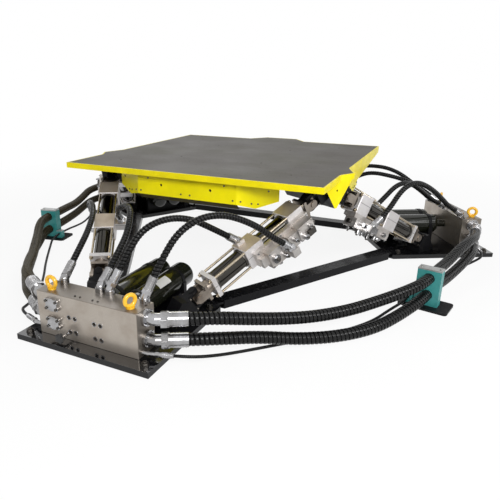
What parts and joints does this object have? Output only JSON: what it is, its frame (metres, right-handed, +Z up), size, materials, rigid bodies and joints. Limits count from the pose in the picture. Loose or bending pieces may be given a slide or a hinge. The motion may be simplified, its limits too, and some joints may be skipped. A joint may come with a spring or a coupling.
{
  "type": "hydraulic motion simulator platform",
  "caption": "Low electro-hydraulic motion base: a triangular table with ears, carried by tilted cylinders on universal joints over corner plates with supply manifolds, accumulators and hoses.",
  "frame": {"origin": "on the floor at the centre of the three base plates", "axes": "+Z up; -Y towards the base plate with the blind flanges and the bleed valve, +X to its right"},
  "size_m": [3.5424, 3.0677, 0.7],
  "materials": {
    "deck_grey": "satin dark grey paint",
    "frame_yellow": "gloss yellow paint",
    "skirt_yellow": "gloss yellow paint",
    "ear_black": "semi-gloss black paint",
    "fork_black": "semi-gloss black paint",
    "cross_steel": "machined",
    "base_black": "gloss black paint",
    "manifold_steel": "brushed",
    "bottle_black": "gloss black paint",
    "zinc_fittings": "zinc plated",
    "knob_black": "matte",
    "eye_orange": "gloss orange paint",
    "cylinder_aluminium": "anodised",
    "rod_chrome": "hard chrome",
    "valve_aluminium": "machined",
    "clamp_teal": "matte",
    "hose_rubber": "ribbed"
  },
  "bodies": {
    "base": {"accumulators": "bottle_black", "base_forks": "fork_black", "base_plate_a": "base_black", "base_plate_b": "base_black", "base_plate_c": "base_black", "clamp_stand_ab": "clamp_teal", "clamp_stand_ca": "clamp_teal", "drain_line_ab": "hose_rubber", "drain_line_ca": "hose_rubber", "frame_beam_ab": "base_black", "frame_beam_bc": "base_black", "frame_beam_ca": "base_black", "leg_hose_1": "hose_rubber", "leg_hose_2": "hose_rubber", "leg_hose_3": "hose_rubber", "leg_hose_4": "hose_rubber", "leg_hose_5": "hose_rubber", "leg_hose_6": "hose_rubber", "leg_hose_7": "hose_rubber", "leg_hose_8": "hose_rubber", "lower_crosses": "cross_steel", "manifold_a": "manifold_steel", "manifold_b": "manifold_steel", "manifold_c": "manifold_steel", "port_fittings": "zinc_fittings", "supply_hose_ab_lower": "hose_rubber", "supply_hose_ab_upper": "hose_rubber", "supply_hose_ca_lower": "hose_rubber", "supply_hose_ca_upper": "hose_rubber"},
    "platform": {"table_deck": "deck_grey", "table_rim": "frame_yellow", "platform_skirts": "skirt_yellow", "platform_ears": "ear_black", "platform_forks": "fork_black", "upper_crosses": "cross_steel"},
    "cylinder_1_body": {"cylinder_1": "cylinder_aluminium", "valve_block_1": "valve_aluminium"},
    "rod_1_body": {"rod_1": "rod_chrome"},
    "cylinder_2_body": {"cylinder_2": "cylinder_aluminium", "valve_block_2": "valve_aluminium"},
    "rod_2_body": {"rod_2": "rod_chrome"},
    "cylinder_3_body": {"cylinder_3": "cylinder_aluminium", "valve_block_3": "valve_aluminium"},
    "rod_3_body": {"rod_3": "rod_chrome"},
    "cylinder_4_body": {"cylinder_4": "cylinder_aluminium", "valve_block_4": "valve_aluminium"},
    "rod_4_body": {"rod_4": "rod_chrome"},
    "cylinder_5_body": {"cylinder_5": "cylinder_aluminium", "valve_block_5": "valve_aluminium"},
    "rod_5_body": {"rod_5": "rod_chrome"},
    "cylinder_6_body": {"cylinder_6": "cylinder_aluminium", "valve_block_6": "valve_aluminium"},
    "rod_6_body": {"rod_6": "rod_chrome"},
    "eye_1": {"lifting_eye_1": "eye_orange"},
    "eye_2": {"lifting_eye_2": "eye_orange"},
    "eye_3": {"lifting_eye_3": "eye_orange"},
    "eye_4": {"lifting_eye_4": "eye_orange"},
    "eye_5": {"lifting_eye_5": "eye_orange"},
    "eye_6": {"lifting_eye_6": "eye_orange"},
    "bleed_valve_knob": {"bleed_knob": "knob_black"}
  },
  "joints": [
    {"name": "platform_heave", "type": "slide", "parent": "base", "child": "platform", "axis": [0, 0, 1], "range_m": [0, 0.25]},
    {"name": "leg_1_swing", "type": "hinge", "parent": "base", "child": "cylinder_1_body", "pos_m": [0.31992, -1.24588, 0.145], "axis": [0.866, -0.5, 0], "range_deg": [0, 12.74], "deforming": ["leg_hose_3", "leg_hose_4"]},
    {"name": "leg_1_stroke", "type": "slide", "parent": "cylinder_1_body", "child": "rod_1_body", "axis": [0.4436, 0.7683, 0.4615], "range_m": [0, 0.1403]},
    {"name": "leg_2_swing", "type": "hinge", "parent": "base", "child": "cylinder_2_body", "pos_m": [1.23892, 0.34588, 0.145], "axis": [-0.866, 0.5, 0], "range_deg": [0, 12.74], "deforming": ["leg_hose_7", "leg_hose_8"]},
    {"name": "leg_2_stroke", "type": "slide", "parent": "cylinder_2_body", "child": "rod_2_body", "axis": [-0.4436, -0.7683, 0.4615], "range_m": [0, 0.1403]},
    {"name": "leg_3_swing", "type": "hinge", "parent": "base", "child": "cylinder_3_body", "pos_m": [0.919, 0.9, 0.145], "axis": [0, 1, 0], "range_deg": [0, 12.74], "deforming": ["leg_hose_5", "leg_hose_6"]},
    {"name": "leg_3_stroke", "type": "slide", "parent": "cylinder_3_body", "child": "rod_3_body", "axis": [-0.8872, 0, 0.4615], "range_m": [0, 0.1403]},
    {"name": "leg_4_swing", "type": "hinge", "parent": "base", "child": "cylinder_4_body", "pos_m": [-0.919, 0.9, 0.145], "axis": [0, -1, 0], "range_deg": [0, 12.74]},
    {"name": "leg_4_stroke", "type": "slide", "parent": "cylinder_4_body", "child": "rod_4_body", "axis": [0.8872, 0, 0.4615], "range_m": [0, 0.1403]},
    {"name": "leg_5_swing", "type": "hinge", "parent": "base", "child": "cylinder_5_body", "pos_m": [-1.23892, 0.34588, 0.145], "axis": [-0.866, -0.5, 0], "range_deg": [0, 12.74]},
    {"name": "leg_5_stroke", "type": "slide", "parent": "cylinder_5_body", "child": "rod_5_body", "axis": [0.4436, -0.7683, 0.4615], "range_m": [0, 0.1403]},
    {"name": "leg_6_swing", "type": "hinge", "parent": "base", "child": "cylinder_6_body", "pos_m": [-0.31992, -1.24588, 0.145], "axis": [0.866, 0.5, 0], "range_deg": [0, 12.74], "deforming": ["leg_hose_1", "leg_hose_2"]},
    {"name": "leg_6_stroke", "type": "slide", "parent": "cylinder_6_body", "child": "rod_6_body", "axis": [-0.4436, 0.7683, 0.4615], "range_m": [0, 0.1403]},
    {"name": "eye_1_swivel", "type": "hinge", "parent": "base", "child": "eye_1", "pos_m": [-0.233, -1.707, 0.2603], "axis": [0, 0, 1], "continuous": true},
    {"name": "eye_2_swivel", "type": "hinge", "parent": "base", "child": "eye_2", "pos_m": [0.233, -1.707, 0.2603], "axis": [0, 0, 1], "continuous": true},
    {"name": "eye_3_swivel", "type": "hinge", "parent": "base", "child": "eye_3", "pos_m": [1.59481, 0.65172, 0.2603], "axis": [0, 0, 1], "continuous": true},
    {"name": "eye_4_swivel", "type": "hinge", "parent": "base", "child": "eye_4", "pos_m": [1.3618, 1.05528, 0.2603], "axis": [0, 0, 1], "continuous": true},
    {"name": "eye_5_swivel", "type": "hinge", "parent": "base", "child": "eye_5", "pos_m": [-1.3618, 1.05528, 0.2603], "axis": [0, 0, 1], "continuous": true},
    {"name": "eye_6_swivel", "type": "hinge", "parent": "base", "child": "eye_6", "pos_m": [-1.59481, 0.65172, 0.2603], "axis": [0, 0, 1], "continuous": true},
    {"name": "bleed_knob_turn", "type": "hinge", "parent": "base", "child": "bleed_valve_knob", "pos_m": [-0.12, -1.796, 0.062], "axis": [0, -1, 0], "range_deg": [0, 720]}
  ],
  "couplings": [
    {"joint": "leg_1_swing", "follows": "platform_heave", "rad_per_m": 0.88836},
    {"joint": "leg_1_stroke", "follows": "platform_heave", "ratio": 0.56038},
    {"joint": "leg_2_swing", "follows": "platform_heave", "rad_per_m": 0.88836},
    {"joint": "leg_2_stroke", "follows": "platform_heave", "ratio": 0.56038},
    {"joint": "leg_3_swing", "follows": "platform_heave", "rad_per_m": 0.88836},
    {"joint": "leg_3_stroke", "follows": "platform_heave", "ratio": 0.56038},
    {"joint": "leg_4_swing", "follows": "platform_heave", "rad_per_m": 0.88836},
    {"joint": "leg_4_stroke", "follows": "platform_heave", "ratio": 0.56038},
    {"joint": "leg_5_swing", "follows": "platform_heave", "rad_per_m": 0.88836},
    {"joint": "leg_5_stroke", "follows": "platform_heave", "ratio": 0.56038},
    {"joint": "leg_6_swing", "follows": "platform_heave", "rad_per_m": 0.88836},
    {"joint": "leg_6_stroke", "follows": "platform_heave", "ratio": 0.56038}
  ]
}
